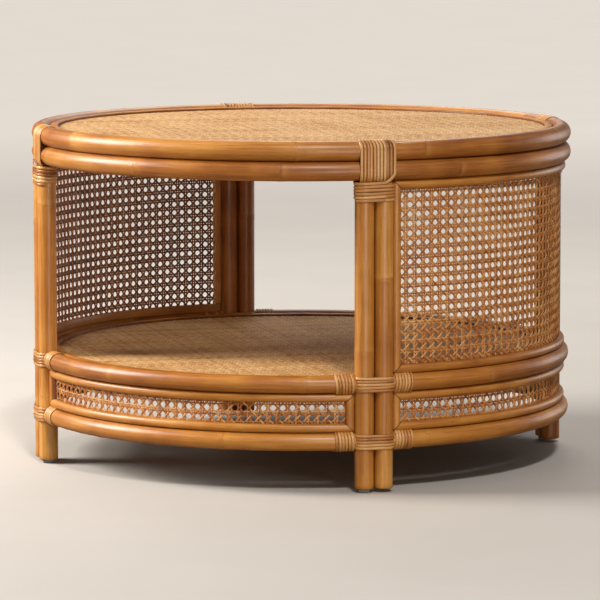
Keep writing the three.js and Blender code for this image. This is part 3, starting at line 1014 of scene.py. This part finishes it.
def rattan(name, slot, colours, streak, patch, roughness, coat, bump, tone_share, gloss=0.45):
    """Rattan or cane: streaks along the grain, slow patches, dark flecks, and, where the shade says, real
    stain and painted shade.
    colours go from dark to pale; streak is the (length, width) of a streak and patch the size of a patch;
    tone_share is how much a strip's own tone counts."""
    s = Shader(bpy.data.materials.new(name))
    grain = s.attribute("grain", "Vector")
    tone = s.node("SeparateXYZ", {0: grain}, 2)
    shade = s.attribute("shade", "Fac")
    place = s.node("TexCoord", {}, "Object")
    streaks = s.noise(s.scaled(grain, (1 / streak[0], 1 / streak[1], 9.0)), 1.0, 4.0, 0.6)
    fibres = s.noise(s.scaled(grain, (6 / streak[0], 7 / streak[1], 31.0)), 1.0, 2.0)
    patches = s.noise(place, 1 / patch, 2.0)
    value = s.math("MULTIPLY_ADD", tone, tone_share, 0.5 - tone_share / 2)
    for source, weight in ((streaks, 0.75), (patches, 0.55), (fibres, 0.3)):
        value = s.math("ADD", value, s.math("MULTIPLY_ADD", source, weight, -weight / 2))
    stops = [(0.12 + 0.76 * i / (len(colours) - 1), colour) for i, colour in enumerate(colours)]
    colour = s.ramp(value, stops)
    flecks = s.noise(s.scaled(grain, (1 / (streak[0] * 0.25), 1 / (streak[1] * 0.35), 77.0)), 1.0, 1.0)
    fleck_amount = s.ramp(flecks, [(0.66, (0, 0, 0, 1)), (0.74, (1, 1, 1, 1))])
    colour = s.mixed(s.math("MULTIPLY", fleck_amount, 0.4), colour, colours[0])
    # Darkening from the shade attribute: real stain at growth joints and on stained strands, and painted
    # shade in creases, hollows and undersides.
    stain_and_shade = s.math("MINIMUM", s.math("MAXIMUM", shade, 0.0), 1.0)
    colour = s.mixed(s.math("MULTIPLY", stain_and_shade, 0.9), colour, STAIN_AND_SHADE, "MULTIPLY")
    lift = s.math("MINIMUM", s.math("MAXIMUM", s.math("MULTIPLY", shade, -1.2), 0.0), 1.0)
    colour = s.mixed(lift, colour, colours[-1])
    relief = s.math("ADD", s.math("MULTIPLY", streaks, 0.6), s.math("MULTIPLY", fibres, 0.4))
    normal = s.node("Bump", {"Height": relief, "Strength": bump, "Distance": 0.4 * MM})
    rough = s.math("MULTIPLY_ADD", streaks, 0.22, roughness - 0.11)
    coats = {"Coat_Weight": coat, "Coat_Roughness": COAT_ROUGHNESS, "Specular_IOR_Level": gloss}
    return s.finish(Base_Color=colour, Roughness=rough, Normal=normal, **coats), slot


HONEY = [srgb(124, 64, 16), srgb(170, 101, 34), srgb(198, 130, 50), srgb(222, 163, 82)]
PEEL = [srgb(136, 78, 28), srgb(194, 126, 58), srgb(218, 158, 88), srgb(234, 188, 124)]
CANE = [srgb(128, 70, 26), srgb(184, 113, 53), srgb(208, 140, 75), srgb(228, 176, 112)]
MAT = [srgb(162, 110, 58), srgb(214, 162, 101), srgb(232, 186, 128), srgb(245, 207, 156)]

POLE_FINISH = rattan(
    "honey_rattan_pole", "rattan_pole", HONEY, streak=(0.09, 0.0035), patch=0.07,
    roughness=0.42, coat=0.32, bump=0.25, tone_share=0.45,
)
MOULDING_FINISH = rattan(
    "honey_rattan_moulding", "rattan_pole", HONEY, streak=(0.06, 0.0028), patch=0.06,
    roughness=0.42, coat=0.4, bump=0.3, tone_share=0.35,
)
PEEL_FINISH = rattan(
    "rattan_peel", "rattan_peel", PEEL, streak=(0.03, 0.0012), patch=0.05,
    roughness=0.38, coat=0.4, bump=0.3, tone_share=0.6,
)
TRIM_FINISH = rattan(
    "rattan_trim", "rattan_peel", HONEY, streak=(0.05, 0.002), patch=0.05,
    roughness=0.5, coat=0.1, bump=0.3, tone_share=0.3, gloss=0.3,
)
CANE_FINISH = rattan(
    "cane_webbing", "cane_webbing", CANE, streak=(0.02, 0.0006), patch=0.04,
    roughness=0.5, coat=0.15, bump=0.3, tone_share=0.6, gloss=0.35,
)
MAT_FINISH = rattan(
    "woven_mat", "woven_mat", MAT, streak=(0.02, 0.0009), patch=0.09,
    roughness=0.62, coat=0.0, bump=0.3, tone_share=0.5, gloss=0.15,
)


def plain_wood():
    """Bare plywood with a long grain, for the boards and battens under the mats."""
    s = Shader(bpy.data.materials.new("bare_board"))
    place = s.node("TexCoord", {}, "Object")
    rings = s.noise(s.scaled(place, (3.0, 60.0, 60.0)), 1.0, 4.0)
    fine = s.noise(s.scaled(place, (25.0, 700.0, 700.0)), 1.0, 2.0)
    colour = s.ramp(rings, [(0.3, srgb(150, 108, 66)), (0.7, srgb(196, 154, 104))])
    normal = s.node("Bump", {"Height": fine, "Strength": 0.3, "Distance": 0.3 * MM})
    return s.finish(Base_Color=colour, Roughness=0.7, Normal=normal)


def grey_plastic():
    """Grey moulded plastic with a fine speckle and scuffs."""
    s = Shader(bpy.data.materials.new("grey_glide"))
    place = s.node("TexCoord", {}, "Object")
    speckle = s.noise(place, 900.0, 2.0)
    scuffs = s.noise(place, 160.0, 4.0)
    colour = s.ramp(scuffs, [(0.3, srgb(118, 114, 108)), (0.7, srgb(146, 142, 136))])
    normal = s.node("Bump", {"Height": speckle, "Strength": 0.4, "Distance": 0.1 * MM})
    return s.finish(Base_Color=colour, Roughness=0.6, Normal=normal)


GLIDE_FINISH = grey_plastic(), "glide"


def finish_boards():
    board = plain_wood()
    for node in ("top_board", "shelf_board", "top_batten", "shelf_batten"):
        piece = frame["nodes"][node]
        piece.data.materials.clear()
        piece.data.materials.append(board)


# ---- Stage, light and camera ----

CAMERA_AZIMUTH = math.radians(29.86)
CAMERA_ELEVATION = math.radians(6.75)
CAMERA_DISTANCE = 5.639
CAMERA_AIM = (-1.8 * MM, 216.7 * MM)  # to the right and up
CAMERA_LENS = 237.4  # in millimetres, on a sensor 36 wide
LAMP_AIM = Vector((0, 0, 0.25))
FLOOR_RADIUS = 40
BACKDROP = srgb(227, 218, 208)
DAYLIGHT = (1.0, 0.98, 0.96)
WARM = (1.0, 0.97, 0.93)


def add_floor():
    """A pale floor. What it throws back onto the table is dimmer than what the camera sees of it."""
    bpy.ops.mesh.primitive_circle_add(vertices=96, radius=FLOOR_RADIUS, fill_type="NGON", location=(0, 0, 0))
    floor = bpy.context.object
    floor.name = "floor"
    s = Shader(bpy.data.materials.new("pale_floor"))
    place = s.node("TexCoord", {}, "Object")
    seen = s.ramp(s.noise(place, 3.0), [(0.3, srgb(204, 197, 188)), (0.7, srgb(209, 202, 194))])
    camera_ray = s.node("LightPath", {}, "Is Camera Ray")
    colour = s.mixed(camera_ray, srgb(132, 118, 104), seen)
    distance = s.node("VectorMath", {0: place}, 1, operation="LENGTH")
    far = s.node("MapRange", {0: distance, 1: 0.3, 2: 6.0, 3: 0.0, 4: 0.54})
    glow = s.math("MULTIPLY", far, camera_ray)
    floor.data.materials.append(
        s.finish(Base_Color=colour, Roughness=0.7, Emission_Color=srgb(236, 228, 218), Emission_Strength=glow)
    )
    return floor


def add_world():
    """Dim light from all round. The camera sees it as pale as the far floor, so that no horizon shows."""
    world = bpy.data.worlds.new("studio")
    bpy.context.scene.world = world
    s = Shader(world)
    dim = s.tree.nodes["Background"]
    s.put(dim.inputs["Color"], srgb(236, 232, 228))
    s.put(dim.inputs["Strength"], 0.25)
    seen = s.node("Background", {"Color": BACKDROP})
    camera_ray = s.node("LightPath", {}, "Is Camera Ray")
    chosen = s.node("MixShader", {0: camera_ray, 1: dim.outputs[0], 2: seen})
    s.put(s.tree.nodes["World Output"].inputs["Surface"], chosen)


def towards(azimuth, elevation, distance):
    """A point seen from the table's middle at an angle to the left (-) or right (+) of the camera."""
    angle = CAMERA_AZIMUTH + math.radians(azimuth)
    level = distance * math.cos(math.radians(elevation))
    height = LAMP_AIM.z + distance * math.sin(math.radians(elevation))
    return Vector((level * math.sin(angle), -level * math.cos(angle), height))


def aimed_lamp(light, place):
    lamp = bpy.data.objects.new(light.name, light)
    lamp.location = place
    lamp.visible_camera = False
    lamp.rotation_euler = (LAMP_AIM - place).to_track_quat("-Z", "Y").to_euler()
    bpy.context.scene.collection.objects.link(lamp)
    return lamp


def add_softbox(name, azimuth, elevation, distance, size, power, colour):
    light = bpy.data.lights.new(name, "AREA")
    light.shape = "RECTANGLE"
    light.size, light.size_y = size
    light.energy = power
    light.color = colour
    return aimed_lamp(light, towards(azimuth, elevation, distance))


def spare(lamp, *things):
    """Keeps a lamp from lighting some things."""
    spared = bpy.data.collections.new("spared_by_" + lamp.name)
    for thing in things:
        spared.objects.link(thing)
    lamp.light_linking.receiver_collection = spared
    for member in spared.collection_objects:
        member.light_linking.link_state = "EXCLUDE"


def add_overhead(azimuth, elevation, strength, softness):
    """Even light from above and in front, the same over the whole floor."""
    light = bpy.data.lights.new("overhead", "SUN")
    light.energy = strength
    light.angle = math.radians(softness)
    light.color = (1.0, 0.98, 0.95)
    aimed_lamp(light, towards(azimuth, elevation, 3.0))


def add_camera():
    right = Vector((math.cos(CAMERA_AZIMUTH), math.sin(CAMERA_AZIMUTH), 0))
    back = Vector((math.sin(CAMERA_AZIMUTH), -math.cos(CAMERA_AZIMUTH), 0))
    aim = right * CAMERA_AIM[0] + Vector((0, 0, CAMERA_AIM[1]))
    offset = back * math.cos(CAMERA_ELEVATION) + Vector((0, 0, math.sin(CAMERA_ELEVATION)))
    data = bpy.data.cameras.new("camera")
    data.lens = CAMERA_LENS
    data.sensor_width = 36
    data.clip_end = 200
    camera = bpy.data.objects.new("camera", data)
    camera.location = aim + offset * CAMERA_DISTANCE
    camera.rotation_euler = (-offset).to_track_quat("-Z", "Y").to_euler()
    bpy.context.scene.collection.objects.link(camera)
    bpy.context.scene.camera = camera


add_rims()
add_rails()
add_legs()
add_bindings()
add_frames()
add_webbing()
for number, surface in enumerate(("top", "shelf")):
    add_mat(surface, SEEDS["mats"] + number)
    add_trim(surface, SEEDS["trims"] + number)
add_glides()
finish_boards()

floor = add_floor()
add_world()
add_softbox("key", azimuth=-90, elevation=28, distance=2.6, size=(1.2, 1.2), power=98, colour=WARM)
front = add_softbox(
    "front", azimuth=15, elevation=1.5, distance=2.2, size=(0.75, 0.5), power=9, colour=DAYLIGHT
)
spare(front, floor)
add_softbox("rear", azimuth=176, elevation=36, distance=3.0, size=(1.2, 1.2), power=14, colour=DAYLIGHT)
edge = add_softbox(
    "edge", azimuth=128, elevation=6, distance=3.0, size=(1.4, 1.2), power=11, colour=(1.0, 0.98, 0.97)
)
woven_right = ("woven_right_panel_cane", "woven_band_cane_right")
spare(edge, floor, *(thing for thing in bpy.data.objects if thing.name.startswith(woven_right)))
add_overhead(azimuth=12, elevation=51, strength=1.25, softness=6)
add_camera()
bpy.context.scene.view_settings.view_transform = "Standard"
